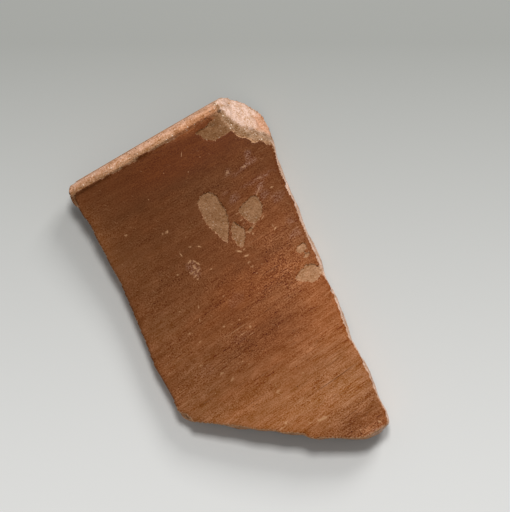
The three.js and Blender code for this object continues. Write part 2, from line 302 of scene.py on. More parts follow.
def clippedGrid(across, along, field, pitch):
    # Grid over the places where the field is positive, with its border drawn onto the field's zero line
    field = field.reshape(across.shape)
    border = 0.55 * pitch
    leastSlope = 0.5
    slopeAlong, slopeAcross = np.gradient(field, pitch)
    steep = np.maximum(slopeAlong ** 2 + slopeAcross ** 2, leastSlope ** 2)
    near = np.abs(field) < border
    across = across - np.where(near, field * slopeAcross / steep, 0)
    along = along - np.where(near, field * slopeAlong / steep, 0)
    corners = cornersOf(np.arange(field.size).reshape(field.shape))
    keeps = cornersOf(field > -border)
    firm = np.any(cornersOf(field > border), axis=0)
    whole = np.all(keeps, axis=0) & firm
    faces = np.stack([c[whole] for c in corners], 1).tolist()
    for missing in range(4):
        three = [i for i in range(4) if i != missing]
        partial = np.all([keeps[i] for i in three], axis=0) & ~keeps[missing] & firm
        faces += np.stack([corners[i][partial] for i in three], 1).tolist()
    used = np.unique([corner for face in faces for corner in face])
    renumber = np.full(field.size, -1)
    renumber[used] = np.arange(len(used))
    faces = [renumber[face].tolist() for face in faces]
    return across.ravel()[used], along.ravel()[used], used, faces


def withUnderside(faces, count):
    # The same faces seen from below, and a wall along every open edge
    edges = set()
    for face in faces:
        for a, b in zip(face, face[1:] + face[:1]):
            edges.add((a, b))
    under = [[i + count for i in reversed(face)] for face in faces]
    sides = [[b, a, a + count, b + count] for a, b in edges if (b, a) not in edges]
    return faces + under + sides


# Shader parts that several finishes share

def newGroup(name, vectors, numbers, outputs):
    group = bpy.data.node_groups.new(name, "ShaderNodeTree")
    sockets = [(socket, "INPUT", "NodeSocketVector") for socket in vectors]
    sockets += [(socket, "INPUT", "NodeSocketFloat") for socket in numbers]
    sockets += [(socket, "OUTPUT", "NodeSocketFloat") for socket in outputs]
    for socket, way, kind in sockets:
        group.interface.new_socket(socket, in_out=way, socket_type=kind)
    w = Wiring(group)
    return group, w, w.add("NodeGroupInput").outputs


class Wiring:
    # Short ways to add and join nodes
    darkest = (0.12, 0.12, 0.04)  # share of each channel that the darkest grain keeps

    def __init__(self, tree):
        self.tree = tree

    def add(self, kind, **settings):
        node = self.tree.nodes.new(kind)
        for key, value in settings.items():
            setattr(node, key, value)
        return node

    def feed(self, socket, value):
        if isinstance(value, bpy.types.NodeSocket):
            self.tree.links.new(value, socket)
        else:
            socket.default_value = value

    def fed(self, kind, *values, **settings):
        node = self.add(kind, **settings)
        for socket, value in zip(node.inputs, values):
            self.feed(socket, value)
        return node.outputs[0]

    def maths(self, operation, *values, clamp=False):
        return self.fed("ShaderNodeMath", *values, operation=operation, use_clamp=clamp)

    def times(self, a, b):
        return self.maths("MULTIPLY", a, b)

    def plus(self, a, b):
        return self.maths("ADD", a, b)

    def minus(self, a, b):
        return self.maths("SUBTRACT", a, b)

    def vectors(self, operation, *values):
        return self.fed("ShaderNodeVectorMath", *values, operation=operation)

    def spread(self, value, low, high, toLow=0.0, toHigh=1.0, kind="SMOOTHSTEP"):
        return self.fed(
            "ShaderNodeMapRange", value, low, high, toLow, toHigh, clamp=True, interpolation_type=kind)

    def blend(self, share, a, b):
        node = self.add("ShaderNodeMix", data_type="RGBA")
        for name, value in (("Factor", share), ("A", a), ("B", b)):
            self.feed(node.inputs[name], value)
        return node.outputs["Result"]

    def cloud(self, place, scale, detail, rough):
        node = self.add("ShaderNodeTexNoise", noise_dimensions="3D")
        for name, value in (("Vector", place), ("Scale", scale), ("Detail", detail), ("Roughness", rough)):
            self.feed(node.inputs[name], value)
        return node.outputs[0]

    def shaded(self, base, tint, *swings):
        # Lightens and darkens a colour, each channel by its share of the tint; a swing is a value round
        # 0.5 and its strength
        total = 0.0
        for value, strength in swings:
            total = self.plus(self.times(self.minus(value, 0.5), strength), total)
        scale = self.vectors("MULTIPLY_ADD", total, tint, (1, 1, 1))
        scale = self.vectors("MAXIMUM", scale, self.darkest)
        return self.vectors("MULTIPLY", base[:3] if isinstance(base, tuple) else base, scale)

    def mask(self, name):
        return self.add("ShaderNodeAttribute", attribute_name=name).outputs["Fac"]

    def place(self, name="place"):
        return self.add("ShaderNodeAttribute", attribute_name=name).outputs["Vector"]


def colour(red, green, blue):
    def toLinear(value):
        value = value / 255
        return value / 12.92 if value <= 0.04045 else ((value + 0.055) / 1.055) ** 2.4
    return (toLinear(red), toLinear(green), toLinear(blue), 1.0)


def makeStreaks():
    # Fine lines left by wiping the turning pot, long across and narrow down
    group, w, given = newGroup("wheelStreaks", ["Place"], ["Length", "Width", "Shift"], ["Lines"])
    stretch = w.add("ShaderNodeCombineXYZ")
    for socket, size in zip(stretch.inputs, ("Length", "Width", "Length")):
        w.feed(socket, w.maths("DIVIDE", 1.0, given[size]))
    place = w.vectors("MULTIPLY", given["Place"], stretch.outputs[0])
    shift = w.fed("ShaderNodeCombineXYZ", *[given["Shift"]] * 3)
    lines = w.cloud(w.vectors("ADD", place, shift), scale=1.0, detail=2.0, rough=0.6)
    w.feed(w.add("NodeGroupOutput").inputs["Lines"], w.spread(lines, 0.28, 0.72, kind="LINEAR"))
    return group


def makeGrain():
    # Granular clay: a fine grain and a coarse one
    group, w, given = newGroup("clayGrain", ["Place"], ["Size"], ["Grain", "Coarse"])
    scale = w.maths("DIVIDE", 1.0, given["Size"])
    ends = w.add("NodeGroupOutput").inputs
    fine = w.cloud(given["Place"], scale, detail=3.0, rough=0.65)
    w.feed(ends["Grain"], w.spread(fine, 0.25, 0.75, kind="LINEAR"))
    wide = w.cloud(given["Place"], w.times(scale, 0.22), detail=2.0, rough=0.5)
    w.feed(ends["Coarse"], w.spread(wide, 0.3, 0.7, kind="LINEAR"))
    return group


def makeSpecks():
    # Scattered dots of uneven size, as grit or pits
    group, w, given = newGroup("scatteredSpecks", ["Place"], ["Spacing", "Share", "Size"], ["Specks"])
    cells = w.add("ShaderNodeTexVoronoi", feature="F1")
    w.feed(cells.inputs["Vector"], given["Place"])
    w.feed(cells.inputs["Scale"], w.maths("DIVIDE", 1.0, given["Spacing"]))
    chance = w.add("ShaderNodeSeparateColor")
    w.feed(chance.inputs[0], cells.outputs["Color"])
    present = w.maths("LESS_THAN", chance.outputs[0], given["Share"])
    size = w.times(given["Size"], w.plus(0.45, chance.outputs[1]))
    dot = w.spread(cells.outputs["Distance"], w.times(size, 0.6), size, toLow=1.0, toHigh=0.0)
    w.feed(w.add("NodeGroupOutput").inputs["Specks"], w.times(dot, present))
    return group


def makeMark():
    # One pale ragged scuff round a centre; each node is added after those that feed it, since Cycles
    # runs out of room otherwise
    group, w, given = newGroup("paleMark", ["Place", "Centre", "Half"], ["Lean", "Rough"], ["Mark"])
    offset = w.vectors("SUBTRACT", given["Place"], given["Centre"])
    angle = w.times(given["Lean"], -1.0)
    level = w.add("ShaderNodeVectorRotate", rotation_type="Z_AXIS")
    w.feed(level.inputs["Vector"], offset)
    w.feed(level.inputs["Angle"], angle)
    flat = w.vectors("MULTIPLY", w.vectors("DIVIDE", level.outputs[0], given["Half"]), (1, 1, 0))
    away = w.add("ShaderNodeVectorMath", operation="LENGTH")
    w.feed(away.inputs[0], flat)
    away = w.maths("MULTIPLY_ADD", w.minus(given["Rough"], 0.5), 3.4, away.outputs["Value"])
    w.feed(w.add("NodeGroupOutput").inputs["Mark"], w.spread(away, 0.5, 1.2, toLow=1.0, toHigh=0.0))
    return group


streakGroup = makeStreaks()
grainGroup = makeGrain()
speckGroup = makeSpecks()
markGroup = makeMark()


def placeGroup(w, group, place, **values):
    node = w.add("ShaderNodeGroup")
    node.node_tree = group
    w.feed(node.inputs["Place"], place)
    for name, value in values.items():
        w.feed(node.inputs[name], value)
    return node.outputs


def streaks(w, place, length, width, shift):
    return placeGroup(w, streakGroup, place, Length=length, Width=width, Shift=shift)["Lines"]


def specks(w, place, spacing, share, size):
    return placeGroup(w, speckGroup, place, Spacing=spacing, Share=share, Size=size)["Specks"]


def newFinish(name, finish):
    material = bpy.data.materials.new(name)
    material.use_nodes = True
    material.node_tree.nodes.clear()
    w = Wiring(material.node_tree)
    shader = w.add("ShaderNodeBsdfPrincipled")
    w.feed(w.add("ShaderNodeOutputMaterial").inputs["Surface"], shader.outputs[0])
    shader.inputs["Roughness"].default_value = finish["roughness"]
    shader.inputs["Specular IOR Level"].default_value = finish["gloss"]
    return material, w, shader.inputs


def addBump(w, sockets, height, depth):
    bump = w.add("ShaderNodeBump")
    bump.inputs["Distance"].default_value = depth * mm
    bump.inputs["Strength"].default_value = 1.0
    w.feed(bump.inputs["Height"], height)
    w.feed(sockets["Normal"], bump.outputs["Normal"])


# Red slip

slipFinish = {
    "dark": colour(86, 46, 17),
    "light": colour(156, 101, 60),
    "orange": colour(159, 92, 47),
    "warmDark": colour(93, 44, 10),
    "thin": colour(172, 128, 92),
    "pit": colour(72, 34, 10),
    "speck": colour(206, 160, 118),
    "chalk": colour(162, 126, 110),
    "tint": (0.66, 1.14, 2.4),  # how much red, green and blue follow what lightens and darkens
    "roughness": 0.62,
    "gloss": 0.12,
    "bump": 0.024,  # in millimetres
    "lines": {  # length, width and shift of each kind
        "hair": (3.0, 0.26, 3.0),
        "brush": (7.0, 0.5, 7.0),
        "bands": (15.0, 1.4, 11.0),
        "ruts": (16.0, 0.34, 31.0),
        "mottle": (1.7, 1.0, 5.0),
        "patches": (4.2, 2.6, 23.0),
    },
    "swings": [  # what makes the slip lighter and darker, by which mask and how strongly
        ("hair", "brushed", 0.56), ("brush", "brushed", 0.26), ("bands", "brushed", 0.42),
        ("grain", "grainy", 1.5), ("mottle", "grainy", 0.25), ("patches", "brushed", 0.4),
    ],
    "warmSwing": 0.3,
    "wornSwing": 0.9,
    "thinSwing": 0.5,
    "grainSize": 0.36,
    "pits": (0.55, 0.26),  # spacing and size
    "specks": (1.1, 0.05, 0.15),  # spacing, share and size
    "scratches": (2.6, 0.17, 19.0),
    "scratchLean": 0.9,
    "over": {  # strength and colour of what lies over it
        "darkRuts": (0.36, "pit"),
        "paleRuts": (0.22, "speck"),
        "pits": (0.8, "pit"),
        "specks": (0.4, "speck"),
        "scratches": (0.3, "speck"),
    },
}

slipMarks = [  # across, up, half width, half height, lean, strength
    (4.4, -35.5, 0.7, 0.22, -35, 0.6), (5.8, -35.7, 0.35, 0.18, 0, 0.35),
    (5.5, -37.4, 0.75, 0.22, -10, 0.5), (5.1, -39.1, 0.45, 0.22, 0, 0.35),
    (5.3, -40.4, 0.35, 0.25, 0, 0.3), (5.4, -42.3, 0.35, 0.18, 0, 0.3), (15.3, -35.1, 0.5, 0.2, 30, 0.5),
    (15.1, -34.2, 0.25, 0.4, 0, 0.25), (9.7, -33.4, 0.25, 0.25, 0, 0.45), (8.7, -32.4, 0.6, 0.2, 0, 0.3),
    (10.4, -32.0, 0.8, 0.35, 30, 0.35), (4.05, -7.65, 0.1, 0.75, -35, 0.45),
    (-8.9, -22.4, 0.5, 0.38, 20, 0.42), (-10.1, -22.3, 0.3, 0.3, 0, 0.28),
    (-8.8, -29.0, 0.2, 0.6, 8, 0.45), (-5.8, -28.5, 0.4, 0.18, -20, 0.35),
    (-3.8, -29.5, 0.5, 0.18, -35, 0.5), (-12.1, -32.9, 0.28, 0.28, 0, 0.45),
    (-7.8, -31.6, 0.65, 0.22, 10, 0.45), (-6.7, -32.1, 0.22, 0.6, 30, 0.4),
    (-6.2, -33.0, 0.22, 0.6, 30, 0.5), (-7.4, -33.4, 0.35, 0.75, 10, 0.4),
    (-8.5, -34.3, 0.7, 0.25, 5, 0.35), (-9.1, -34.1, 0.18, 0.5, 10, 0.3),
    (-7.0, -34.6, 0.6, 0.22, 20, 0.4), (-8.3, -35.4, 0.65, 0.22, 15, 0.4),
    (-8.2, -36.3, 0.3, 0.22, 0, 0.4), (-4.0, -35.8, 0.3, 0.2, 0, 0.35),
    (-18.3, -18.0, 0.45, 0.26, 0, 0.35), (-14.7, -59.5, 0.5, 0.3, 0, 0.35),
    (-4.8, -70.3, 0.7, 0.35, 20, 0.3), (1.2, -81.6, 1.8, 0.4, -4, 0.42),
    (-1.8, -80.9, 0.5, 0.2, -25, 0.3), (13.2, -89.3, 0.3, 0.55, 30, 0.55),
    (8.1, -88.7, 0.25, 0.3, 0, 0.35), (-7.0, -77.9, 0.5, 0.28, 20, 0.5),
    (-8.6, -78.5, 0.4, 0.2, 20, 0.3), (11.7, -17.2, 0.6, 0.3, 25, 0.3),
    (16.2, -17.95, 0.7, 0.22, 5, 0.35), (18.3, -22.3, 0.8, 0.2, -10, 0.22),
    (19.8, -25.8, 0.5, 0.22, 0, 0.35), (15.4, -25.6, 0.6, 0.13, 40, 0.4),
    (16.2, -25.0, 0.6, 0.12, 35, 0.35), (17.0, -24.4, 0.5, 0.12, 30, 0.25),
    (15.4, -26.5, 0.35, 0.16, 30, 0.45), (15.3, -27.7, 0.16, 0.35, 0, 0.4),
    (15.0, -28.7, 0.4, 0.16, 35, 0.4), (13.9, -31.2, 0.6, 0.13, 25, 0.4),
    (11.0, -31.9, 0.7, 0.13, 15, 0.3), (8.9, -29.1, 0.5, 0.13, 0, 0.4), (8.5, -30.8, 0.35, 0.13, 0, 0.3),
    (9.1, -30.1, 0.3, 0.13, 10, 0.3), (8.7, -27.2, 0.4, 0.14, 0, 0.35),
    (-17.0, -47.0, 0.35, 0.2, 0, 0.4), (-15.6, -50.0, 0.45, 0.2, 10, 0.3),
    (-8.5, -49.7, 0.3, 0.22, 0, 0.45), (-4.2, -50.2, 0.25, 0.22, 0, 0.35),
    (-2.7, -53.0, 0.3, 0.3, 0, 0.4), (-5.2, -53.6, 1.0, 0.1, 2, 0.45), (-3.3, -54.7, 0.8, 0.1, 2, 0.3),
    (-11.5, -42.3, 0.18, 0.45, -28, 0.4), (-13.0, -45.4, 0.16, 0.5, -25, 0.4),
    (-16.3, -41.0, 0.3, 0.18, 0, 0.3), (-4.6, -43.2, 0.35, 0.18, 0, 0.3),
    (-18.6, -55.2, 0.45, 0.18, 0, 0.3), (-13.2, -62.0, 0.6, 0.35, 30, 0.3),
    (-4.9, -70.6, 0.13, 0.9, 25, 0.35), (-4.5, -68.8, 0.1, 0.9, -8, 0.3),
    (2.9, -69.4, 0.22, 0.18, 0, 0.4), (2.1, -76.9, 0.25, 0.22, 0, 0.4),
    (-3.4, -72.8, 0.22, 0.18, 0, 0.3),
]


def makeSlip():
    material, w, sockets = newFinish("red slip", slipFinish)
    place = w.place()
    brushed = w.mask("brushed")
    swept = w.place("swept")
    lines = {name: streaks(w, swept, *size) for name, size in slipFinish["lines"].items()}
    grain = placeGroup(w, grainGroup, place, Size=slipFinish["grainSize"])["Grain"]
    lines["grain"] = grain
    spacing, size = slipFinish["pits"]
    pits = specks(w, place, spacing, w.mask("pitted"), size)
    turned = w.add("ShaderNodeVectorRotate", rotation_type="Z_AXIS")
    w.feed(turned.inputs["Vector"], place)
    turned.inputs["Angle"].default_value = slipFinish["scratchLean"]
    over = {
        "darkRuts": w.times(w.spread(lines["ruts"], 0.2, 0.06), brushed),
        "paleRuts": w.times(w.spread(lines["ruts"], 0.8, 0.94), w.spread(brushed, 0.6, 1.1)),
        "pits": w.times(pits, w.spread(lines["hair"], 0.7, 0.3)),
        "specks": specks(w, place, *slipFinish["specks"]),
        "scratches": w.spread(streaks(w, turned.outputs[0], *slipFinish["scratches"]), 0.93, 1.0),
    }

    base = w.blend(w.mask("tone"), slipFinish["dark"], slipFinish["light"])
    warmed = w.blend(w.mask("tone"), slipFinish["warmDark"], slipFinish["orange"])
    patchy = w.minus(lines["patches"], 0.5)
    warm = w.maths("MULTIPLY_ADD", patchy, slipFinish["warmSwing"], w.mask("warm"), clamp=True)
    base = w.blend(warm, base, warmed)
    swings = [(lines[name], w.times(w.mask(by), more)) for name, by, more in slipFinish["swings"]]
    base = w.shaded(base, slipFinish["tint"], *swings)
    worn = w.plus(w.mask("worn"), w.times(w.minus(grain, 0.5), slipFinish["wornSwing"]))
    thin = w.shaded(slipFinish["thin"], slipFinish["tint"], (grain, slipFinish["thinSwing"]))
    base = w.blend(w.spread(worn, 0.45, 0.75), base, thin)
    base = w.blend(w.times(w.mask("chalk"), w.spread(grain, 0.35, 0.8)), base, slipFinish["chalk"])
    for name, share in over.items():
        strength, colourName = slipFinish["over"][name]
        base = w.blend(w.times(share, strength), base, slipFinish[colourName])

    # The marks join before they are blended in: one blend for each is more than Cycles can hold
    rough = w.cloud(place, scale=2.6, detail=3.0, rough=0.7)
    marked = 0.0
    for across, up, halfAcross, halfUp, lean, strength in slipMarks:
        mark = placeGroup(
            w, markGroup, place, Centre=(across, up, 0), Half=(halfAcross, halfUp, 1),
            Lean=math.radians(lean), Rough=rough)["Mark"]
        marked = w.maths("MAXIMUM", marked, w.times(mark, strength))
    w.feed(sockets["Base Color"], w.blend(marked, base, slipFinish["speck"]))
    height = w.plus(w.times(lines["hair"], 0.8), w.times(grain, 0.6))
    height = w.minus(height, w.times(over["pits"], 1.5))
    addBump(w, sockets, height, slipFinish["bump"])
    return material


# Fired clay

clayFinish = {
    "tan": colour(176, 132, 98),
    "fresh": colour(210, 175, 154),
    # pink clay on the lip's top, partly its own colour and partly a painted highlight
    "salmon": colour(204, 157, 128),
    "orange": colour(204, 140, 98),
    # dark brown for wear and for painted shade: under the lip's bead, at its left tip and down the upper
    # windows
    "weatheredAndShaded": colour(122, 85, 55),
    # the crumbled band at the corner: wear, and painted shade where it turns from the light
    "edgeWearAndShade": colour(140, 108, 81),
    # rusty brown under the bead and at the lip's left tip, partly its own colour and partly painted shade
    "rustyShade": colour(150, 88, 50),
    # darker clay in hollows and dents, and painted shade on the lip's rounded left tip
    "darkened": colour(104, 76, 52),
    "pale": colour(236, 212, 190),
    "darkGrit": colour(84, 60, 44),
    "tint": (0.78, 1.12, 1.6),
    "roughness": 0.9,
    "gloss": 0.1,
    "bump": 0.1,
    "grainSize": 0.4,
    "grainSwing": (0.75, 0.4),  # everywhere, and how much more where the clay is gritty
    "coarseSwing": 0.4,
    "wipes": (7.0, 0.45, 5.0),  # length, width and shift
    "wipeSwing": 0.35,
    "paleGrit": (0.62, 0.4, 0.26),  # spacing, share and size
    "blackGrit": (0.9, 0.35, 0.22),
    "shown": {"coarse": 0.35, "paleGrit": 0.6, "blackGrit": 0.7},
    "layers": ("fresh", "salmon", "orange", "weatheredAndShaded", "edgeWearAndShade", "rustyShade", "darkened"),  # lowest first
}


def makeClay():
    material, w, sockets = newFinish("fired clay", clayFinish)
    place = w.place()
    gritty = w.mask("gritty")
    grain = placeGroup(w, grainGroup, place, Size=clayFinish["grainSize"])
    wipes = streaks(w, place, *clayFinish["wipes"])
    pale = specks(w, place, *clayFinish["paleGrit"])
    dark = specks(w, place, *clayFinish["blackGrit"])
    shown = clayFinish["shown"]
    coarse = w.times(grain["Coarse"], shown["coarse"])
    base = w.blend(coarse, clayFinish["tan"], clayFinish["orange"])
    for layer in clayFinish["layers"]:
        base = w.blend(w.mask(layer), base, clayFinish[layer])
    everywhere, more = clayFinish["grainSwing"]
    grainy = w.plus(everywhere, w.times(gritty, more))
    wiped = w.mask("wiped")
    base = w.shaded(
        base, clayFinish["tint"], (grain["Grain"], grainy), (grain["Coarse"], clayFinish["coarseSwing"]),
        (wipes, w.times(wiped, clayFinish["wipeSwing"])))
    base = w.blend(w.times(pale, w.times(gritty, shown["paleGrit"])), base, clayFinish["pale"])
    base = w.blend(w.times(dark, w.times(gritty, shown["blackGrit"])), base, clayFinish["darkGrit"])
    w.feed(sockets["Base Color"], base)
    height = w.plus(grain["Grain"], w.times(wipes, wiped))
    addBump(w, sockets, w.plus(height, w.times(grain["Coarse"], 0.8)), clayFinish["bump"])
    return material


slipMaterial = makeSlip()
clayMaterial = makeClay()


# The clay body

clayBody = {
    "voxel": 0.36,
    "facing": (0.86, 0.95),  # how squarely a face looks out or in, to count at all and to count wholly
    "endWear": 1.0,  # rounding at the left end of the lip
    "meanLoss": 0.005,  # the middle of the grain lies this far under the break
    "grain": [
        (3.4, 0.13, 20, 1), (1.5, 0.075, 21, 1), (0.75, 0.04, 22, 1), ((3.5, 3.5, 0.5), 0.06, 31, 1),
    ],
    "rightFill": 0.22,  # the break stands out this much more on the right
    "footFill": 0.12,
    "noseFill": 0.35,
    "cornerWear": 0.5,  # the broken corner is worn back this much
    "cornerSpan": (18, 20.5, -14, -11),  # where the wear starts and is whole, across and up
    "crumbs": [(1.0, 0.24, 43, 1), (0.6, 0.15, 44, 1)],  # the crumbled band at the corner
    "closed": [(21.7, -27.7, 1.9, 1.9, 1), (18.4, -55.4, 1.5, 1.5, 1), (-2.9, -83.9, 1.3, 1.3, 1)],
    "closedBy": 0.5,  # small chips of the edge are closed there
    "flakeRings": (17.3, -3.2, 1.1, 0.09, 9),  # across, up, how far apart, depth, reach on the facet
    "voids": ((2.4, 1.8, 0.8), 0.35, 37),
    "wallDents": ((14, 9, 14), 0.05, 5),  # size, height, seed
    "fineDents": ((1.6, 1.2, 1.6), 0.03, 8),
    "innerWipes": ((16, 0.8, 16), 0.035, 12, 2),
    "crownGrain": ((2.5, 0.8, 2.5), 0.05, 41),
    "corner": [  # the broken corner, outside the edge of the slip
        (17.2, -1.4), (17.2, -5.6), (17.9, -8.4), (18.8, -10.2), (20.2, -12.1), (21.5, -13.6),
        (23.1, -14.8), (25.0, -16), (30, -16), (30, 4), (17.2, 4),
    ],
    "freshFace": [
        (17.4, -0.4), (17.9, -2.2), (18.3, -4), (18.7, -6), (19.6, -8.0), (21.2, -9.9), (22.7, -11.4),
        (24.2, -13.2), (25.3, -14.8), (30, -15), (30, 4), (17.4, 4),
    ],
    "orangeFace": [
        (24.8, -14.5), (23.2, -11.5), (23.8, -8.5), (25.5, -7.5), (30, -7), (30, -16), (25.5, -16),
    ],
    "dents": [  # across, up, half width, half height, depth
        (13.9, -5.2, 0.8, 0.8, 0.25), (17.25, -3.15, 0.3, 0.3, 0.6), (12.9, -5.0, 0.4, 0.4, 0.2),
        (14.7, -5.6, 0.5, 0.5, 0.12),
    ],
    "shadeDown": [(4, 1.1), (9, 1.0), (22, 0.85), (30, 0.74), (49, 0.26), (62, 0.05)],
}


def remeshed(node, voxel):
    copied = newObject("remeshing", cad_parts[node].data.copy())
    remesh = copied.modifiers.new("voxels", "REMESH")
    remesh.mode = "VOXEL"
    remesh.voxel_size = voxel * mm
    remesh.adaptivity = 0
    seen = copied.evaluated_get(bpy.context.evaluated_depsgraph_get())
    mesh = bpy.data.meshes.new_from_object(seen)
    points = np.empty(len(mesh.vertices) * 3)
    mesh.vertices.foreach_get("co", points)
    faces = [list(p.vertices) for p in mesh.polygons]
    bpy.data.objects.remove(copied)
    bpy.data.meshes.remove(mesh)
    return inPot(points.reshape(-1, 3)), faces


class Surface:
    # Points with their neighbours, for smoothing and normals
    def __init__(self, points, faces):
        self.points = points
        self.quads = np.array([face if len(face) == 4 else face + face[-1:] for face in faces])
        ends = np.concatenate([self.quads[:, [i, (i + 1) % 4]] for i in range(4)])
        ends = ends[ends[:, 0] != ends[:, 1]]
        self.ends = np.concatenate([ends, ends[:, ::-1]])
        self.count = np.bincount(self.ends[:, 0], minlength=len(points))

    def normals(self):
        q = self.points[self.quads]
        facing = np.cross(q[:, 2] - q[:, 0], q[:, 3] - q[:, 1])
        total = np.zeros_like(self.points)
        for corner in range(4):
            for axis in range(3):
                total[:, axis] += np.bincount(
                    self.quads[:, corner], facing[:, axis], minlength=len(self.points))
        return total / np.maximum(np.linalg.norm(total, axis=1), 1e-12)[:, None]

    def averaged(self, values):
        if values.ndim == 2:
            return np.stack([self.averaged(values[:, i]) for i in range(values.shape[1])], 1)
        total = np.bincount(self.ends[:, 0], values[self.ends[:, 1]], minlength=len(values))
        return total / self.count

    def smooth(self, share, rounds):
        for _ in range(rounds):
            moved = self.averaged(self.points) - self.points
            self.points = self.points + moved * share[:, None] * 0.5


def findFaces(body):
    # How far each point faces outward, and its share of the outer face, inner face, crown and break
    normals = body.normals()
    radius, azimuth = polar(body.points)
    drop = -body.points[:, 1]
    outward = normals[:, 0] * np.sin(azimuth) + normals[:, 2] * np.cos(azimuth)
    under = np.abs(slippedRadius(drop) - pot["skin"] - radius)
    over = np.abs(radius - innerRadius(drop))
    isOuter = ramp(outward, *clayBody["facing"]) * fade(under, 0.1, 0.2) * ramp(drop, 1.2, 2.4)
    isInner = ramp(-outward, *clayBody["facing"]) * fade(over, 0.25, 0.45) * ramp(drop, 1.6, 2.6)
    onCrown = fade(drop, 2.0, 3.2) * ramp(np.hypot(outward, normals[:, 1]), 0.8, 0.95)
    onCrown = onCrown * fade(np.abs(normals[:, 0]), 0.25, 0.5)
    broken = np.clip(1 - isOuter - isInner - onCrown, 0, 1)
    for _ in range(2):
        broken = body.averaged(broken)
    return outward, isOuter, isInner, onCrown, broken


def roughen(body, place, corner, onCrown, broken):
    # Grain, chips and crumbs of the broken faces, and the fine grain of the crown
    x, y, depth = body.points[:, 0], body.points[:, 1], -place[:, 2]
    normals = body.normals()
    loss = clayBody["meanLoss"] + relief(place, *clayBody["grain"])
    loss -= clayBody["rightFill"] * ramp(normals[:, 0], 0.3, 0.8) * ramp(-y, 14, 18)
    loss -= clayBody["footFill"] * ramp(-normals[:, 1], 0.3, 0.8)
    loss -= clayBody["noseFill"] * ramp(-normals[:, 0], 0.2, 0.8) * ramp(y, -9, -6.5)
    loss -= clayBody["closedBy"] * humps(x, y, clayBody["closed"]) * fade(depth, 1.5, 3.5)
    size, deep, seed = clayBody["voids"]
    loss += deep * ramp(noise(place, size, seed), 0.55, 0.85)
    left, leftWhole, low, lowWhole = clayBody["cornerSpan"]
    loss += clayBody["cornerWear"] * ramp(x, left, leftWhole) * ramp(y, low, lowWhole)
    loss *= broken
    atFacet = insideOutline(x, y, clayBody["freshFace"])
    crumbled = ramp(corner, -0.2, 0.4) * (1 - 0.5 * ramp(atFacet, -0.3, 0.5)) * (depth < 4)
    loss += crumbled * relief(place, *clayBody["crumbs"])
    cx, cy, apart, deep, reach = clayBody["flakeRings"]
    away = np.hypot(x - cx, y - cy) + 0.3 * noise(place, 2.0, 47)
    ringed = ramp(away, 0.6, 1.4) * fade(away, 0.6 * reach, reach) * ramp(atFacet, -0.2, 0.5)
    loss += deep * np.sin(2 * np.pi * away / apart) * ringed * (depth < 5)
    loss *= ramp(onTable(body.points)[:, 2] / mm, 0.02, 0.5)  # none where it rests on the table
    loss += onCrown * (0.05 + relief(place, clayBody["crownGrain"])) * (1 - broken)
    body.points = inPot(insideBox(onTable(body.points - normals * loss[:, None])))


